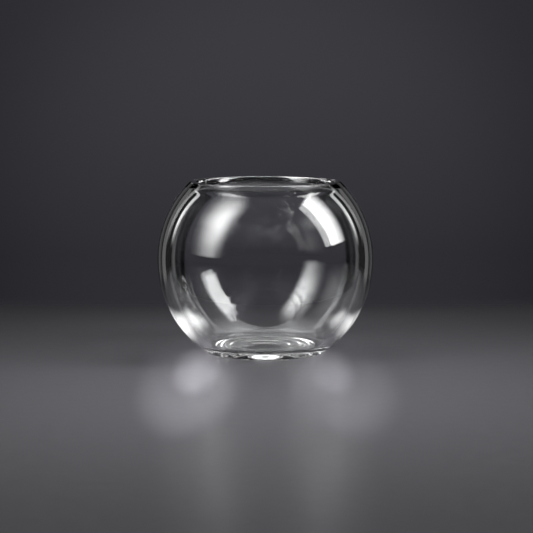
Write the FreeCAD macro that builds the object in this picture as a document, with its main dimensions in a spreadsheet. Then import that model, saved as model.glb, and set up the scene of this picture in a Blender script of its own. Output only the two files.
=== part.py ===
import FreeCAD, Part
import Sketcher
import math
import os

# Rose bowl vase of heavy clear glass, one continuous blown piece.
# It stands on the XY plane with its axis on Z; all lengths are in millimetres.
# The glass is modelled as four zones that meet face to face on level seams:
# the fire-polished rim, the upper wall, the lower wall and the heavy base.

sizes = {
    # Outside of the bowl: the mouth and foot are measured at their sharp outer edges
    "widest_diameter": 114.0,
    "mouth_diameter": 78.6,
    "foot_diameter": 62.6,
    "belly_height": 48.7,
    "bowl_height": 90.0,
    # Glass of the wall and the floor: the foot wall is measured level with the table,
    # between the outside and the inside drawn on down to it
    "wall_thickness": 7.2,
    "foot_wall_width": 8.9,
    "floor_thickness": 4.2,
    "floor_blend_radius": 8.0,
    # Rim: cut level, then fire-polished
    "lip_width": 2.9,
    "rim_outer_round": 0.8,
    "rim_inner_round": 1.2,
    "rim_zone_depth": 8.0,
    # Foot: a standing ring round a dished underside
    "foot_round": 1.5,
    "standing_ring_width": 4.6,
    "ring_inner_round": 1.0,
    "dish_depth": 1.8,
}

# How near an edge must lie to the place where it is looked for, as a share of the width
edge_search_share = 0.001

# Formulas over the sheet's cells, by which the sketches read it
widest_text = "Sizes.widest_diameter / 2"
mouth_text = "Sizes.mouth_diameter / 2"
foot_text = "Sizes.foot_diameter / 2"
belly_text = "Sizes.belly_height"
top_text = "Sizes.bowl_height"
wall_text = "Sizes.wall_thickness"
inner_widest_text = f"{widest_text} - {wall_text}"
inner_foot_text = f"{foot_text} - Sizes.foot_wall_width"
rim_seam_text = "Sizes.bowl_height - Sizes.rim_zone_depth"
dish_text = "Sizes.dish_depth"
floor_text = "Sizes.dish_depth + Sizes.floor_thickness"
base_seam_text = f"{floor_text} + Sizes.floor_blend_radius"
shoulder_rise_text = "Sizes.bowl_height - Sizes.belly_height"

# The same radii and levels, to place each sketch's first outline
widest = sizes["widest_diameter"] / 2
mouth = sizes["mouth_diameter"] / 2
foot = sizes["foot_diameter"] / 2
belly = sizes["belly_height"]
top = sizes["bowl_height"]
wall = sizes["wall_thickness"]
inner_widest = widest - wall
inner_foot = foot - sizes["foot_wall_width"]
rim_seam = top - sizes["rim_zone_depth"]
dish_depth = sizes["dish_depth"]
floor_level = dish_depth + sizes["floor_thickness"]
base_seam = floor_level + sizes["floor_blend_radius"]
lip_inner = mouth - sizes["lip_width"]
ring_inner = foot - sizes["standing_ring_width"]


# Radius of an arc that starts upright at the belly and ends some way up or down from it
def arc_radius(start_radius, end_radius, rise):
    inset = start_radius - end_radius
    return (inset**2 + rise**2) / (2 * inset)


# The same radius as a formula over the sheet's cells
def arc_radius_text(start_text, end_text, rise_text):
    inset_text = f"({start_text} - ({end_text}))"
    return f"({inset_text} ^ 2 + ({rise_text}) ^ 2) / (2 * {inset_text})"


# The wall's faces, each with its radius at the belly and the radius of its arc
shoulder = arc_radius(widest, mouth, top - belly)
outer_shoulder = (widest, shoulder)
inner_shoulder = (inner_widest, shoulder - wall)
outer_lower = (widest, arc_radius(widest, foot, belly))
inner_lower = (inner_widest, arc_radius(inner_widest, inner_foot, belly))
outer_shoulder_text = arc_radius_text(widest_text, mouth_text, shoulder_rise_text)
inner_shoulder_text = f"{outer_shoulder_text} - {wall_text}"
outer_lower_text = arc_radius_text(widest_text, foot_text, belly_text)
inner_lower_text = arc_radius_text(inner_widest_text, inner_foot_text, belly_text)


# The point of one of the wall's faces at a level
def face_point(face, level):
    start, arc = face
    reach = math.sqrt(arc**2 - (level - belly) ** 2)
    return start - arc + reach, level


# Driving sizes as named cells
def make_sheet(doc):
    sheet = doc.addObject("Spreadsheet::Sheet", "Sizes")
    for row, (name, value) in enumerate(sizes.items(), start=1):
        sheet.set(f"A{row}", name)
        sheet.set(f"B{row}", str(value))
        sheet.setAlias(f"B{row}", name)
    doc.recompute()


# A body with an empty sketch on its own upright plane
def make_body(doc, label):
    body = doc.addObject("PartDesign::Body", label)
    body.Label = label
    sketch = body.newObject("Sketcher::SketchObject", f"{label}_outline")
    upright = [f for f in body.Origin.OriginFeatures if f.Role == "XZ_Plane"][0]
    sketch.AttachmentSupport = [(upright, "")]
    sketch.MapMode = "FlatFace"
    return body, sketch


def vector(radius, level):
    return FreeCAD.Vector(radius, level, 0)


def add_line(sketch, start, end):
    return sketch.addGeometry(Part.LineSegment(vector(*start), vector(*end)), False)


# An arc that runs anticlockwise about its centre from one point to another
def add_arc(sketch, centre, start, end):
    angles = [math.atan2(p[1] - centre[1], p[0] - centre[0]) for p in (start, end)]
    radius = math.dist(centre, start)
    circle = Part.Circle(vector(*centre), FreeCAD.Vector(0, 0, 1), radius)
    return sketch.addGeometry(Part.ArcOfCircle(circle, *angles), False)


def join(sketch, first, first_end, second, second_end):
    sketch.addConstraint(Sketcher.Constraint("Coincident", first, first_end, second, second_end))


# A named size in the sketch, bound to a formula
def bind(sketch, name, formula, *words):
    index = sketch.addConstraint(Sketcher.Constraint(*words))
    sketch.renameConstraint(index, name)
    sketch.setExpression(f"Constraints.{name}", formula)


# A point's level above the table
def bind_level(sketch, name, formula, geometry, end, value):
    bind(sketch, name, formula, "DistanceY", -1, 1, geometry, end, value)


# A point's distance from the axis
def bind_radius(sketch, name, formula, geometry, end, value):
    bind(sketch, name, formula, "DistanceX", -1, 1, geometry, end, value)


# One of the wall's faces between two levels, as an arc centred at the belly's level
def add_face(sketch, name, face, arc_text, levels):
    start, arc = face
    ends = [face_point(face, level) for level in levels]
    edge = add_arc(sketch, (start - arc, belly), *ends)
    bind_level(sketch, f"{name}_centre", belly_text, edge, 3, belly)
    bind(sketch, f"{name}_radius", arc_text, "Radius", edge, arc)
    return edge


# A level line from an end of the inside to an end of the outside
def add_level(sketch, name, formula, inner, inner_end, outer, outer_end, start, end):
    line = add_line(sketch, start, end)
    join(sketch, line, 1, inner, inner_end)
    join(sketch, line, 2, outer, outer_end)
    sketch.addConstraint(Sketcher.Constraint("Horizontal", line))
    bind_level(sketch, name, formula, line, 1, start[1])
    return line


# The level cut across the wall where the lower and the upper wall meet
def add_belly_cut(sketch, inner, inner_end, outer, outer_end):
    ends = (inner_widest, belly), (widest, belly)
    cut = add_level(sketch, "belly", belly_text, inner, inner_end, outer, outer_end, *ends)
    bind_radius(sketch, "inner_widest", inner_widest_text, cut, 1, inner_widest)
    bind_radius(sketch, "widest", widest_text, cut, 2, widest)


def revolve(body, sketch):
    solid = body.newObject("PartDesign::Revolution", f"{body.Label}_glass")
    solid.Profile = sketch
    solid.ReferenceAxis = (sketch, ["V_Axis"])
    solid.Angle = 360
    sketch.Visibility = False
    body.Document.recompute()
    return solid


# The name of the round edge with a given radius and level
def round_edge(feature, radius, level):
    near = edge_search_share * sizes["widest_diameter"]
    for number, edge in enumerate(feature.Shape.Edges, start=1):
        if not isinstance(edge.Curve, Part.Circle):
            continue
        centre = edge.Curve.Center
        misses = (centre.x, centre.y, centre.z - level, edge.Curve.Radius - radius)
        if max(abs(miss) for miss in misses) < near:
            return f"Edge{number}"
    raise RuntimeError(f"no round edge at radius {radius} and level {level}")


# Rounds one circular edge, with its radius read from the sheet
def round_off(body, feature, name, radius, level):
    fillet = body.newObject("PartDesign::Fillet", name)
    fillet.Base = (feature, [round_edge(feature, radius, level)])
    fillet.Radius = sizes[name]
    fillet.setExpression("Radius", f"Sizes.{name}")
    body.Document.recompute()
    return fillet


# The level cut across the lower wall where it meets the base
def add_base_seam(sketch, inner, inner_end, outer):
    ends = face_point(inner_lower, base_seam), face_point(outer_lower, base_seam)
    add_level(sketch, "base_seam", base_seam_text, inner, inner_end, outer, inner_end, *ends)


# The wall from the base's seam up to the belly, thicker lower down
def make_lower_wall(doc):
    body, sketch = make_body(doc, "lower_wall")
    levels = (base_seam, belly)
    outer = add_face(sketch, "outer", outer_lower, outer_lower_text, levels)
    inner = add_face(sketch, "inner", inner_lower, inner_lower_text, levels)
    add_base_seam(sketch, inner, 1, outer)
    add_belly_cut(sketch, inner, 2, outer, 2)
    revolve(body, sketch)
    return body


# The wall from the belly up over the shoulder to the rim's seam, of one thickness
def make_upper_wall(doc):
    body, sketch = make_body(doc, "upper_wall")
    levels = (belly, rim_seam)
    outer = add_face(sketch, "outer", outer_shoulder, outer_shoulder_text, levels)
    inner = add_face(sketch, "inner", inner_shoulder, inner_shoulder_text, levels)
    add_belly_cut(sketch, inner, 1, outer, 1)
    ends = face_point(inner_shoulder, rim_seam), face_point(outer_shoulder, rim_seam)
    add_level(sketch, "rim_seam", rim_seam_text, inner, 2, outer, 2, *ends)
    revolve(body, sketch)
    return body


# The arc that leaves the inside of the wall smoothly at the rim's seam and meets the lip
def add_lip_turn(sketch, wall_inside, seam_inner, lip_start):
    along = (belly - seam_inner[1], seam_inner[0] - widest + shoulder)
    across = (lip_start[0] - seam_inner[0], lip_start[1] - seam_inner[1])
    turned = across[1] * along[0] - across[0] * along[1]
    reach = (across[0] ** 2 + across[1] ** 2) / (2 * turned)
    centre = (seam_inner[0] - along[1] * reach, seam_inner[1] + along[0] * reach)
    turn = add_arc(sketch, centre, lip_start, seam_inner)
    sketch.addConstraint(Sketcher.Constraint("Tangent", wall_inside, 2, turn, 2))
    return turn


# The rim: its inside turns upright in one arc, and both edges of the lip are fire-polished
def make_rim(doc):
    body, sketch = make_body(doc, "rim")
    seam_inner = face_point(inner_shoulder, rim_seam)
    seam_outer = face_point(outer_shoulder, rim_seam)
    lip_start, lip_end = (lip_inner, top), (mouth, top)
    outer = add_face(sketch, "outer", outer_shoulder, outer_shoulder_text, (rim_seam, top))
    guide = add_face(sketch, "guide", inner_shoulder, inner_shoulder_text, (belly, rim_seam))
    sketch.toggleConstruction(guide)
    bind_level(sketch, "guide_start", belly_text, guide, 1, belly)
    bind_radius(sketch, "inner_widest", inner_widest_text, guide, 1, inner_widest)
    turn = add_lip_turn(sketch, guide, seam_inner, lip_start)
    add_level(sketch, "rim_seam", rim_seam_text, guide, 2, outer, 1, seam_inner, seam_outer)
    lip = add_level(sketch, "top", top_text, turn, 1, outer, 2, lip_start, lip_end)
    bind_radius(sketch, "mouth", mouth_text, lip, 2, mouth)
    lip_width = sizes["lip_width"]
    bind(sketch, "lip_width", "Sizes.lip_width", "DistanceX", lip, 1, lip, 2, lip_width)
    solid = revolve(body, sketch)
    inside = round_off(body, solid, "rim_inner_round", lip_inner, top)
    round_off(body, inside, "rim_outer_round", mouth, top)
    return body


# The heavy base: a thick floor over a dished underside that leaves a standing ring
def make_heavy_base(doc):
    body, sketch = make_body(doc, "heavy_base")
    outer = add_face(sketch, "outer", outer_lower, outer_lower_text, (0, base_seam))
    inner_levels = (floor_level, base_seam)
    inner = add_face(sketch, "inner", inner_lower, inner_lower_text, inner_levels)
    inner_end = sketch.addGeometry(Part.Point(vector(inner_foot, 0)), True)
    add_base_seam(sketch, inner, 2, outer)
    floor_edge = face_point(inner_lower, floor_level)
    dish_top, floor_middle = (0, dish_depth), (0, floor_level)
    dish_radius = (ring_inner**2 + dish_depth**2) / (2 * dish_depth)
    dish = add_arc(sketch, (0, dish_depth - dish_radius), (ring_inner, 0), dish_top)
    ring = add_line(sketch, (ring_inner, 0), (foot, 0))
    axis = add_line(sketch, dish_top, floor_middle)
    floor = add_line(sketch, floor_middle, floor_edge)
    join(sketch, ring, 1, dish, 1)
    join(sketch, ring, 2, outer, 1)
    join(sketch, axis, 1, dish, 2)
    join(sketch, axis, 2, floor, 1)
    join(sketch, floor, 2, inner, 1)
    sketch.addConstraint(Sketcher.Constraint("Horizontal", floor))
    on_axes = ((ring, 1, -1), (ring, 2, -1), (axis, 1, -2), (axis, 2, -2), (dish, 3, -2))
    for geometry, end, line in (*on_axes, (inner_end, 1, -1), (inner_end, 1, inner)):
        sketch.addConstraint(Sketcher.Constraint("PointOnObject", geometry, end, line))
    bind_radius(sketch, "inner_foot", inner_foot_text, inner_end, 1, inner_foot)
    bind_radius(sketch, "foot", foot_text, ring, 2, foot)
    bind_level(sketch, "dish_depth", dish_text, axis, 1, dish_depth)
    bind_level(sketch, "floor_level", floor_text, axis, 2, floor_level)
    ring_width = sizes["standing_ring_width"]
    bind(sketch, "ring_width", "Sizes.standing_ring_width", "DistanceX", ring, 1, ring, 2, ring_width)
    solid = revolve(body, sketch)
    blended = round_off(body, solid, "floor_blend_radius", floor_edge[0], floor_level)
    footed = round_off(body, blended, "foot_round", foot, 0)
    round_off(body, footed, "ring_inner_round", ring_inner, 0)
    return body


# Stops on any object that failed, and on a zone without one sound solid
def check(doc, bodies):
    for item in doc.Objects:
        bad = [state for state in item.State if state in ("Invalid", "Error")]
        if bad:
            raise RuntimeError(f"{item.Label} is {bad}")
    for sketch in doc.findObjects("Sketcher::SketchObject"):
        if not sketch.FullyConstrained:
            raise RuntimeError(f"{sketch.Label} is not fully constrained")
    for body in bodies:
        shape = body.Shape
        if shape.isNull() or not shape.isValid() or len(shape.Solids) != 1:
            raise RuntimeError(f"{body.Label} is not one valid solid")


def main():
    doc = FreeCAD.newDocument("rose_bowl_vase")
    make_sheet(doc)
    bodies = [make_heavy_base(doc), make_lower_wall(doc), make_upper_wall(doc), make_rim(doc)]
    doc.recompute()
    check(doc, bodies)
    os.makedirs("parts", exist_ok=True)
    for body in bodies:
        body.Shape.exportStep(f"parts/{body.Label}.step")
        box = body.Shape.optimalBoundingBox(False)
        print(f"{body.Label}: level {box.ZMin:.2f} to {box.ZMax:.2f}, across {box.XLength:.2f}")
        print(f"{body.Label}: volume {body.Shape.Volume:.0f}")


main()
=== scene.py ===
import bpy
import math
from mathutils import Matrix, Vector


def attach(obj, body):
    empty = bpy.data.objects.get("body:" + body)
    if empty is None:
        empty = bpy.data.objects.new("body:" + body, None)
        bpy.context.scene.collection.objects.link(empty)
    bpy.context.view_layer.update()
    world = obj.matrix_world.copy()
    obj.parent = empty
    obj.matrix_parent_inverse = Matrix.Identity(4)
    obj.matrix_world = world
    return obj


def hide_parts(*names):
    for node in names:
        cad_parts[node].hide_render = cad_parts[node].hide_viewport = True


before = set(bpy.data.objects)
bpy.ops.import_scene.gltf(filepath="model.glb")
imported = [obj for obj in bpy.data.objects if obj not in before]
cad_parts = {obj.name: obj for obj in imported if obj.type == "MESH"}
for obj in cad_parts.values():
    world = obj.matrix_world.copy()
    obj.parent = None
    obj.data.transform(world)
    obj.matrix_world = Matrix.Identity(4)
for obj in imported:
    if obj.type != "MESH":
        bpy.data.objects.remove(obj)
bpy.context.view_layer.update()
mm = 0.001


def deselectAll():
    if bpy.context.object and bpy.context.object.mode == "EDIT":
        bpy.ops.object.mode_set(mode="OBJECT")
    bpy.ops.object.select_all(action="DESELECT")


def newMaterial(name):
    material = bpy.data.materials.new(name)
    material.use_nodes = True
    nodes = material.node_tree.nodes
    return material, nodes, material.node_tree.links, nodes["Principled BSDF"]


# A shader node group with inputs (name, kind, value) and outputs (name, kind)
def newGroup(name, inputs, outputs):
    group = bpy.data.node_groups.new(name, "ShaderNodeTree")
    for label, kind, value in inputs:
        socket = group.interface.new_socket(label, in_out="INPUT", socket_type=kind)
        socket.default_value = value
    for label, kind in outputs:
        group.interface.new_socket(label, in_out="OUTPUT", socket_type=kind)
    start = group.nodes.new("NodeGroupInput")
    end = group.nodes.new("NodeGroupOutput")
    return group, group.nodes, group.links, start, end


def mathNode(nodes, links, operation, first, second=None, third=None):
    node = nodes.new("ShaderNodeMath")
    node.operation = operation
    for slot, value in enumerate((first, second, third)):
        if value is None:
            continue
        if isinstance(value, (int, float)):
            node.inputs[slot].default_value = value
        else:
            links.new(value, node.inputs[slot])
    return node.outputs[0]


glassLook = {
    "ior": 1.5,
    "tint": (0.985, 0.99, 0.99, 1.0),
    "wave scale": 28.0,        # soft swells of hand-blown glass, per metre
    "wave height": 0.0008,
    "ripple scale": 90.0,
    "ripple share": 0.12,      # height of the ripples, of that of the swells
    "polish": 0.0,             # roughness of the clean glass
    "smudge": 0.003,           # extra roughness where hands have touched it
    "smudge scale": 45.0,
    "smudge range": (0.55, 0.8),   # noise values at which a smudge starts and is full
}


def makeBlownGroup():
    group, nodes, links, start, end = newGroup(
        "blownGlass",
        [
            ("Wave Scale", "NodeSocketFloat", 30.0),
            ("Ripple Scale", "NodeSocketFloat", 90.0),
            ("Ripple Share", "NodeSocketFloat", 0.1),
            ("Smudge Scale", "NodeSocketFloat", 40.0),
            ("Polish", "NodeSocketFloat", 0.0),
            ("Smudge", "NodeSocketFloat", 0.02),
        ],
        [("Height", "NodeSocketFloat"), ("Roughness", "NodeSocketFloat")],
    )
    place = nodes.new("ShaderNodeTexCoord").outputs["Object"]
    swell = nodes.new("ShaderNodeTexNoise")
    swell.inputs["Detail"].default_value = 1.0
    links.new(place, swell.inputs["Vector"])
    links.new(start.outputs["Wave Scale"], swell.inputs["Scale"])
    ripple = nodes.new("ShaderNodeTexNoise")
    ripple.inputs["Detail"].default_value = 2.0
    links.new(place, ripple.inputs["Vector"])
    links.new(start.outputs["Ripple Scale"], ripple.inputs["Scale"])
    share, swells = start.outputs["Ripple Share"], swell.outputs["Fac"]
    height = mathNode(nodes, links, "MULTIPLY_ADD", ripple.outputs["Fac"], share, swells)
    links.new(height, end.inputs["Height"])
    touch = nodes.new("ShaderNodeTexNoise")
    touch.inputs["Detail"].default_value = 4.0
    touch.inputs["Distortion"].default_value = 0.6
    links.new(place, touch.inputs["Vector"])
    links.new(start.outputs["Smudge Scale"], touch.inputs["Scale"])
    patch = nodes.new("ShaderNodeMapRange")
    patch.inputs["From Min"].default_value = glassLook["smudge range"][0]
    patch.inputs["From Max"].default_value = glassLook["smudge range"][1]
    links.new(touch.outputs["Fac"], patch.inputs["Value"])
    smudge, polish = start.outputs["Smudge"], start.outputs["Polish"]
    rough = mathNode(nodes, links, "MULTIPLY_ADD", patch.outputs["Result"], smudge, polish)
    links.new(rough, end.inputs["Roughness"])
    return group


def makeGlass(blownGroup):
    material, nodes, links, shader = newMaterial("clearGlass")
    finish = nodes.new("ShaderNodeGroup")
    finish.node_tree = blownGroup
    finish.inputs["Wave Scale"].default_value = glassLook["wave scale"]
    finish.inputs["Ripple Scale"].default_value = glassLook["ripple scale"]
    finish.inputs["Ripple Share"].default_value = glassLook["ripple share"]
    finish.inputs["Smudge Scale"].default_value = glassLook["smudge scale"]
    finish.inputs["Polish"].default_value = glassLook["polish"]
    finish.inputs["Smudge"].default_value = glassLook["smudge"]
    bump = nodes.new("ShaderNodeBump")
    bump.inputs["Strength"].default_value = glassLook["wave height"]
    bump.inputs["Distance"].default_value = mm
    links.new(finish.outputs["Height"], bump.inputs["Height"])
    links.new(bump.outputs["Normal"], shader.inputs["Normal"])
    links.new(finish.outputs["Roughness"], shader.inputs["Roughness"])
    shader.inputs["Base Color"].default_value = glassLook["tint"]
    shader.inputs["Metallic"].default_value = 0.0
    shader.inputs["Transmission Weight"].default_value = 1.0
    shader.inputs["IOR"].default_value = glassLook["ior"]
    return material


bowlShape = {              # millimetres, the same real sizes as the frame
    "widest": 56.985,      # radius, a hair inside the frame's box
    "mouth": 39.3,         # radius of the sharp outer edge, before it is polished
    "foot": 31.3,
    "belly height": 48.7,
    "height": 90.0,
    "wall": 7.2,
    "foot wall": 8.9,      # level width of the wall, drawn on down to the table
    "floor": 4.2,          # glass in the middle, over the dish
    "floor blend": 8.0,
    "lip width": 2.9,
    "rim outer round": 0.8,
    "rim inner round": 1.2,
    "rim turn depth": 8.0,
    "foot round": 1.5,
    "ring width": 4.6,
    "dish": 1.8,
    "underside rings": (   # radius and level of each crest and trough pressed into the dish
        (11, 1.6), (14.2, 0.9), (15.2, 0.9), (17.6, 1.7), (19.4, 0.9),
        (20.6, 0.9), (22.4, 1.5), (24.4, 0.6), (25.4, 0.6),
    ),
    "spokes": 256,
    "wall step": 1.25,     # degrees along the large arcs
    "blend step": 3,
    "turn step": 4,
    "foot round step": 4,
    "rim round step": 8,
    "swell step": 0.2,     # along the underside
    "short end": 0.12,     # of a straight run
    "closer than": 0.002,  # points this close become one
}


def arcCentre(start, end, rise):       # centre of the arc that starts upright at the belly
    inset = start - end
    return (start - (inset**2 + rise**2) / (2 * inset), bowlShape["belly height"])


def towards(centre, level, reach, side=1):   # a point at a level, so far from a centre
    return (centre[0] + side * math.sqrt(reach**2 - (level - centre[1])**2), level)


def outward(centre, through, radius):        # the point of a circle in line with another point
    away = Vector(through) - Vector(centre)
    away = Vector(centre) + away.normalized() * radius
    return (away.x, away.y)


def moveTo(pen, place):                      # straight run, with short ends so that it shades flat
    start, end = Vector(pen), Vector(place)
    run = end - start
    short = run.normalized() * min(bowlShape["short end"], run.length / 4)
    for stop in (start + short, end - short, end):
        step = (stop - start) * mm
        bpy.ops.mesh.extrude_region_move(TRANSFORM_OT_translate={"value": (step.x, 0, step.y)})
        start = stop
    return (end.x, end.y)


def swellTo(pen, place):                     # smooth rise or fall, level at both ends
    across, rise = place[0] - pen[0], place[1] - pen[1]
    steps = 2 * max(4, math.ceil(across / bowlShape["swell step"] / 2))
    for count in range(steps):
        before, after = math.cos(math.pi * count / steps), math.cos(math.pi * (count + 1) / steps)
        step = (across * mm / steps, 0, rise * mm * (before - after) / 2)
        bpy.ops.mesh.extrude_region_move(TRANSFORM_OT_translate={"value": step})
    return place


def turnTo(pen, centre, place, step):        # arc about a centre
    first = math.atan2(pen[1] - centre[1], pen[0] - centre[0])
    last = math.atan2(place[1] - centre[1], place[0] - centre[0])
    angle = (last - first + math.pi) % (2 * math.pi) - math.pi
    steps = max(2, math.ceil(abs(math.degrees(angle)) / step))
    middle = (centre[0] * mm, 0, centre[1] * mm)
    bpy.ops.mesh.spin(steps=steps, angle=angle, center=middle, axis=(0, 1, 0))
    return place


def makeRoseBowl():
    s = bowlShape
    belly, top = s["belly height"], s["height"]
    widest, innerWidest = s["widest"], s["widest"] - s["wall"]
    floorLevel = s["dish"] + s["floor"]
    low = arcCentre(widest, s["foot"], belly)
    high = arcCentre(widest, s["mouth"], top - belly)
    innerLow = arcCentre(innerWidest, s["foot"] - s["foot wall"], belly)
    lowRadius, highRadius = widest - low[0], widest - high[0]
    innerLowRadius, innerHighRadius = innerWidest - innerLow[0], innerWidest - high[0]
    ringInner = s["foot"] - s["ring width"]
    # Centres of the rounds
    footRound = towards(low, s["foot round"], lowRadius - s["foot round"])
    rimOuter = towards(high, top - s["rim outer round"], highRadius - s["rim outer round"])
    blend = towards(innerLow, floorLevel + s["floor blend"], innerLowRadius - s["floor blend"])
    # The arc in which the inside of the rim turns upright
    seam = towards(high, top - s["rim turn depth"], innerHighRadius)
    lip = (s["mouth"] - s["lip width"], top)
    along = Vector((high[1] - seam[1], seam[0] - high[0])).normalized()
    across = Vector(lip) - Vector(seam)
    turnRadius = across.length_squared / (2 * (across.y * along.x - across.x * along.y))
    turn = (seam[0] - along.y * turnRadius, seam[1] + along.x * turnRadius)
    turnReach = abs(turnRadius)
    rimInner = towards(turn, top - s["rim inner round"], turnReach - s["rim inner round"], -1)

    deselectAll()
    bpy.ops.mesh.primitive_plane_add(size=mm)
    bowl = bpy.context.object
    bowl.name = bowl.data.name = "roseBowl"
    bpy.ops.object.mode_set(mode="EDIT")
    bpy.ops.mesh.merge(type="CENTER")
    bpy.ops.transform.translate(value=(0, 0, s["dish"] * mm))
    pen = (0, s["dish"])
    for place in (*s["underside rings"], (ringInner, 0)):
        pen = swellTo(pen, place)
    pen = moveTo(pen, (footRound[0], 0))
    pen = turnTo(pen, footRound, outward(low, footRound, lowRadius), s["foot round step"])
    pen = turnTo(pen, low, (widest, belly), s["wall step"])
    pen = turnTo(pen, high, outward(high, rimOuter, highRadius), s["wall step"])
    pen = turnTo(pen, rimOuter, (rimOuter[0], top), s["rim round step"])
    pen = moveTo(pen, (rimInner[0], top))
    pen = turnTo(pen, rimInner, outward(turn, rimInner, turnReach), s["rim round step"])
    pen = turnTo(pen, turn, seam, s["turn step"])
    pen = turnTo(pen, high, (innerWidest, belly), s["wall step"])
    pen = turnTo(pen, innerLow, outward(innerLow, blend, innerLowRadius), s["wall step"])
    pen = turnTo(pen, blend, (blend[0], floorLevel), s["blend step"])
    pen = moveTo(pen, (0, floorLevel))

    bpy.ops.mesh.select_all(action="SELECT")
    bpy.ops.mesh.spin(steps=s["spokes"], angle=2 * math.pi, center=(0, 0, 0), axis=(0, 0, 1))
    bpy.ops.mesh.select_all(action="SELECT")
    bpy.ops.mesh.remove_doubles(threshold=s["closer than"] * mm)
    bpy.ops.mesh.normals_make_consistent(inside=False)
    bpy.ops.object.mode_set(mode="OBJECT")
    bpy.ops.object.shade_smooth()
    return bowl


glass = makeGlass(makeBlownGroup())
print("glass finish made")
bowl = makeRoseBowl()
bowl.data.materials.append(glass)
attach(bowl, "root")
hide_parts("rim", "upper_wall", "lower_wall", "heavy_base")
print("rose bowl made:", len(bowl.data.polygons), "faces")

floorLook = {
    "size": (2.4, 1.6),
    "back edge": 0.172,        # metres behind the bowl
    "edge fade": 0.05,
    # A pool of light painted into the floor's colour: pale around this centre, fading to the
    # darker far tone by this radius
    "painted light pool centre": (0, -0.11, 0),
    "painted light pool radius": 0.32,
    "painted pool tone": (0.078, 0.076, 0.084, 1),
    "far": (0.012, 0.0117, 0.0138, 1),
    "roughness": 0.3,
    "shine": 0.3,              # specular level
    "grain": 0.025,            # share by which the tone and the sheen wander
    "grain scale": 160.0,
    "grain range": (0.3, 0.7),   # noise values at the least and the most
}


# Goes softly from low, where the value is at start, to high, where it is at end
def smoothFade(nodes, links, value, start, end, low=0.0, high=1.0):
    fade = nodes.new("ShaderNodeMapRange")
    fade.interpolation_type = "SMOOTHSTEP"
    fade.inputs["From Min"].default_value = start
    fade.inputs["From Max"].default_value = end
    fade.inputs["To Min"].default_value = low
    fade.inputs["To Max"].default_value = high
    links.new(value, fade.inputs["Value"])
    return fade.outputs["Result"]


def mixTones(nodes, links, factor, first, second):
    mix = nodes.new("ShaderNodeMix")
    mix.data_type = "RGBA"
    for label, tone in (("A", first), ("B", second)):
        if isinstance(tone, tuple):
            mix.inputs[label].default_value = tone
        else:
            links.new(tone, mix.inputs[label])
    links.new(factor, mix.inputs["Factor"])
    return mix.outputs["Result"]


def makeFloor():
    deselectAll()
    edge, fade = floorLook["back edge"], floorLook["edge fade"]
    middle = edge + fade - floorLook["size"][1] / 2
    bpy.ops.mesh.primitive_plane_add(size=1, location=(0, middle, 0))
    floor = bpy.context.object
    floor.name = "studioFloor"
    floor.scale = (*floorLook["size"], 1)
    bpy.ops.object.transform_apply(location=True, rotation=False, scale=True)
    material, nodes, links, shader = newMaterial("satinFloor")
    place = nodes.new("ShaderNodeTexCoord").outputs["Object"]
    away = nodes.new("ShaderNodeVectorMath")
    away.operation = "DISTANCE"
    away.inputs[1].default_value = floorLook["painted light pool centre"]
    links.new(place, away.inputs[0])
    # Painted light: the floor's colour is a painted pool of light, pale at its centre and darker
    # further out
    paintedLightPool = smoothFade(nodes, links, away.outputs["Value"], 0, floorLook["painted light pool radius"])
    tone = mixTones(nodes, links, paintedLightPool, floorLook["painted pool tone"], floorLook["far"])
    grain = nodes.new("ShaderNodeTexNoise")
    grain.inputs["Scale"].default_value = floorLook["grain scale"]
    grain.inputs["Detail"].default_value = 4.0
    links.new(place, grain.inputs["Vector"])
    spread = (1 - floorLook["grain"], 1 + floorLook["grain"])
    wander = smoothFade(nodes, links, grain.outputs["Fac"], *floorLook["grain range"], *spread)
    speckled = nodes.new("ShaderNodeVectorMath")
    speckled.operation = "SCALE"
    links.new(tone, speckled.inputs[0])
    links.new(wander, speckled.inputs["Scale"])
    links.new(speckled.outputs["Vector"], shader.inputs["Base Color"])
    sheen = mathNode(nodes, links, "MULTIPLY", wander, floorLook["roughness"])
    links.new(sheen, shader.inputs["Roughness"])
    shader.inputs["Specular IOR Level"].default_value = floorLook["shine"]
    # The far edge melts into the backdrop
    depth = nodes.new("ShaderNodeSeparateXYZ")
    links.new(place, depth.inputs[0])
    solid = smoothFade(nodes, links, depth.outputs["Y"], edge + fade, edge - fade)
    links.new(solid, shader.inputs["Alpha"])
    floor.data.materials.append(material)


backdropLook = {
    "low": (0.0285, 0.0278, 0.0335, 1),
    "high": (0.054, 0.053, 0.062, 1),
    "low at": -0.11,           # upward part of the direction
    "high at": 0.035,
    "behind": (0, 0.9945, -0.105),
    "vignette": 0.5,           # how far the tone falls off for the camera
    "vignette at": (12, 2),    # degrees off the middle of the backdrop, as all below
    "ends at": (14.5, 13),
    "wall ring": (37, 34, 26, 22.5, 0.15),   # light on the studio's walls, and its tone
    "starts again": (62, 55),  # where the plain studio goes on
}


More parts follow.
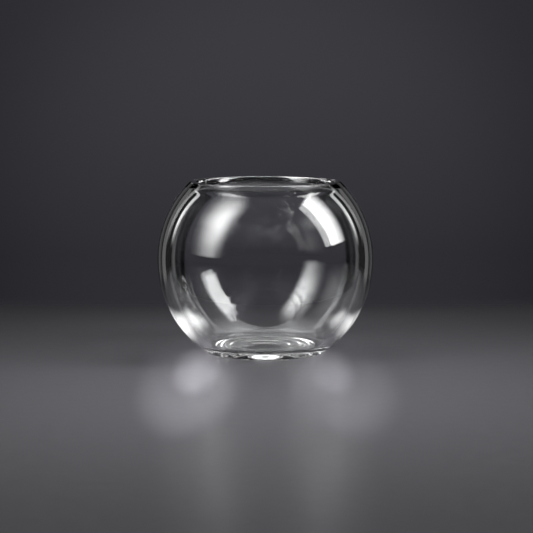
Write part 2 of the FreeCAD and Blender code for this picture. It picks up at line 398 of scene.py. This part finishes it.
def makeBackdrop():
    world = bpy.data.worlds.new("studioDark")
    bpy.context.scene.world = world
    world.use_nodes = True
    nodes, links = world.node_tree.nodes, world.node_tree.links
    direction = nodes.new("ShaderNodeTexCoord").outputs["Generated"]
    parts = nodes.new("ShaderNodeSeparateXYZ")
    links.new(direction, parts.inputs[0])
    rise = nodes.new("ShaderNodeMapRange")
    rise.inputs["From Min"].default_value = backdropLook["low at"]
    rise.inputs["From Max"].default_value = backdropLook["high at"]
    links.new(parts.outputs["Z"], rise.inputs["Value"])
    low, high = backdropLook["low"], backdropLook["high"]
    tone = mixTones(nodes, links, rise.outputs["Result"], low, high)
    facing = nodes.new("ShaderNodeVectorMath")
    facing.operation = "DOT_PRODUCT"
    facing.inputs[1].default_value = backdropLook["behind"]
    links.new(direction, facing.inputs[0])

    def within(outer, inner, low=0.0):
        angles = [math.cos(math.radians(angle)) for angle in (outer, inner)]
        return smoothFade(nodes, links, facing.outputs["Value"], *angles, low)

    def calculate(operation, first, second):
        return mathNode(nodes, links, operation, first, second)

    # The camera itself sees a plain backdrop on every side, other rays see it with a gap
    seen = nodes.new("ShaderNodeLightPath").outputs["Is Camera Ray"]
    plain = calculate("MAXIMUM", seen, within(*backdropLook["ends at"]))
    beyond = calculate("SUBTRACT", 1, within(*backdropLook["starts again"]))
    unseen = calculate("SUBTRACT", 1, seen)
    vignette = within(*backdropLook["vignette at"], 1 - backdropLook["vignette"])
    vignette = calculate("MAXIMUM", vignette, unseen)
    cover = calculate("MULTIPLY", calculate("MAXIMUM", plain, beyond), vignette)
    shown = nodes.new("ShaderNodeVectorMath")
    shown.operation = "SCALE"
    links.new(tone, shown.inputs[0])
    links.new(cover, shown.inputs["Scale"])
    outer, outerFull, innerFull, inner, ringTone = backdropLook["wall ring"]
    ring = calculate("SUBTRACT", within(outer, outerFull), within(innerFull, inner))
    ring = calculate("MULTIPLY", calculate("MULTIPLY", ring, ringTone), unseen)
    total = nodes.new("ShaderNodeVectorMath")
    total.operation = "ADD"
    links.new(shown.outputs["Vector"], total.inputs[0])
    links.new(ring, total.inputs[1])
    links.new(total.outputs["Vector"], nodes["Background"].inputs["Color"])


# Lamps round the bowl, with their width and height in degrees, as it sees them. Side is
# degrees off straight behind it, towards the right. The fades are those of the right, left,
# lower and upper edge, each with the share of the lamp that fades and the value at the edge.
softboxes = {
    "leftSoftbox": {
        "side": -113, "rise": 39, "width": 38, "height": 68, "strength": 13, "lean": 0,
        "fades": ((0.7, 0.06), (0.3, 0), (0.6, 0.3), (0.5, 0)),
    },
    "rightSoftbox": {
        "side": 96, "rise": 35.5, "width": 26, "height": 45, "strength": 17, "lean": 0,
        "fades": ((0.15, 0), (0.45, 0), (0, 1), (0.1, 0)),
    },
    "leftStrip": {
        "side": -48.5, "rise": 19, "width": 7.5, "height": 36, "strength": 1.9, "lean": 13,
        "fades": ((0.45, 0), (0.1, 0), (0.5, 0), (0.1, 0)),
    },
    "rightStrip": {
        "side": 50, "rise": 19, "width": 7.5, "height": 36, "strength": 1.9, "lean": -13,
        "fades": ((0.1, 0), (0.45, 0), (0.5, 0), (0.1, 0)),
    },
    "overheadSoftbox": {
        "side": 0, "rise": 62, "width": 76, "height": 51, "strength": 4, "lean": 0,
        "fades": ((0.3, 0), (0.3, 0), (0.3, 0), (0, 1)),
    },
}

# Small lamps lying on the floor beside and behind the bowl, which only the glass sees
floorLights = {
    "leftFloorLight": {"place": (-0.062, 0.034), "size": (0.048, 0.120), "strength": 1.8},
    "rightFloorLight": {"place": (0.062, 0.034), "size": (0.040, 0.110), "strength": 1.1},
}


def addLamp(name, size, strength, fades):
    deselectAll()
    bpy.ops.object.light_add(type="AREA")
    lamp = bpy.context.object
    lamp.name = name
    lamp.data.shape = "RECTANGLE"
    lamp.data.size, lamp.data.size_y = size
    lamp.data.energy = strength * math.pi * size[0] * size[1]
    lamp.visible_camera = False
    lamp.data.use_nodes = True
    nodes, links = lamp.data.node_tree.nodes, lamp.data.node_tree.links
    across = nodes.new("ShaderNodeSeparateXYZ")
    links.new(nodes.new("ShaderNodeNewGeometry").outputs["Parametric"], across.inputs[0])
    level = 1.0
    for index, (share, edge) in enumerate(fades):
        if share:
            start, end = (0, share) if index % 2 == 0 else (1, 1 - share)
            along = across.outputs["X" if index < 2 else "Y"]
            fade = smoothFade(nodes, links, along, start, end, edge)
            level = mathNode(nodes, links, "MULTIPLY", fade, level)
    links.new(level, nodes["Emission"].inputs["Strength"])
    return lamp


def addSoftbox(name, look, distance=0.8, target=(0, 0, 0.045)):
    halves = [math.radians(look[label] / 2) for label in ("width", "height")]
    size = [2 * distance * math.tan(half) for half in halves]
    lamp = addLamp(name, size, look["strength"], look["fades"])
    side, rise = math.radians(look["side"]), math.radians(look["rise"])
    level = math.cos(rise)
    away = Vector((math.sin(side) * level, math.cos(side) * level, math.sin(rise)))
    lamp.location = Vector(target) + away * distance
    lamp.rotation_euler = away.to_track_quat("Z", "Y").to_euler()
    lamp.rotation_euler.rotate_axis("Z", math.radians(look["lean"]))


floorLightFades = ((0.5, 0), (0.4, 0), (0.4, 0), (0.5, 0))


def addFloorLight(name, look, above=0.0015):
    lamp = addLamp(name, look["size"], look["strength"], floorLightFades)
    lamp.location = (*look["place"], above)
    lamp.rotation_euler = (math.pi, 0, 0)
    lamp.visible_diffuse = False


# Narrow lamps from the front for the two glows that the bowl throws on the floor
glows = {
    "leftGlow": {"aim": (-0.036, -0.100), "width": 4.0, "power": 230},
    "leftGlowCore": {"aim": (-0.034, -0.060), "width": 1.9, "power": 480},
    "rightGlow": {"aim": (0.038, -0.100), "width": 4.0, "power": 150},
    "rightGlowCore": {"aim": (0.032, -0.060), "width": 1.9, "power": 250},
}


def addGlow(name, look, front=-0.9, height=0.15):
    deselectAll()
    bpy.ops.object.light_add(type="SPOT", location=(look["aim"][0], front, height))
    lamp = bpy.context.object
    lamp.name = name
    toAim = Vector((*look["aim"], 0)) - lamp.location
    lamp.rotation_euler = toAim.to_track_quat("-Z", "Y").to_euler()
    lamp.data.energy = look["power"]
    lamp.data.spot_size = math.radians(look["width"])
    lamp.data.spot_blend = 1.0
    lamp.visible_glossy = lamp.visible_transmission = False


cameraLook = {
    "place": (0, -0.900, 0.1516),
    "lens": 116.1,
    "dip": 6.77,           # degrees below level
    "turn": -0.04,         # degrees, the bowl stands a little left of the middle
    "sensor": 36,
    "clip": 0.01,
}


def addCamera():
    deselectAll()
    bpy.ops.object.camera_add(location=cameraLook["place"])
    camera = bpy.context.object
    tilt, turn = math.radians(90 - cameraLook["dip"]), math.radians(cameraLook["turn"])
    camera.rotation_euler = (tilt, 0, turn)
    camera.data.lens = cameraLook["lens"]
    camera.data.sensor_width = cameraLook["sensor"]
    camera.data.clip_start = cameraLook["clip"]
    bpy.context.scene.camera = camera


makeFloor()
makeBackdrop()
for name, look in softboxes.items():
    addSoftbox(name, look)
for name, look in floorLights.items():
    addFloorLight(name, look)
for name, look in glows.items():
    addGlow(name, look)
addCamera()

scene = bpy.context.scene
scene.view_settings.view_transform = "Standard"
scene.cycles.caustics_reflective = False
scene.cycles.max_bounces = 24
scene.cycles.transmission_bounces = 24
scene.cycles.glossy_bounces = 12
scene.cycles.transparent_max_bounces = 16
print("stage set")
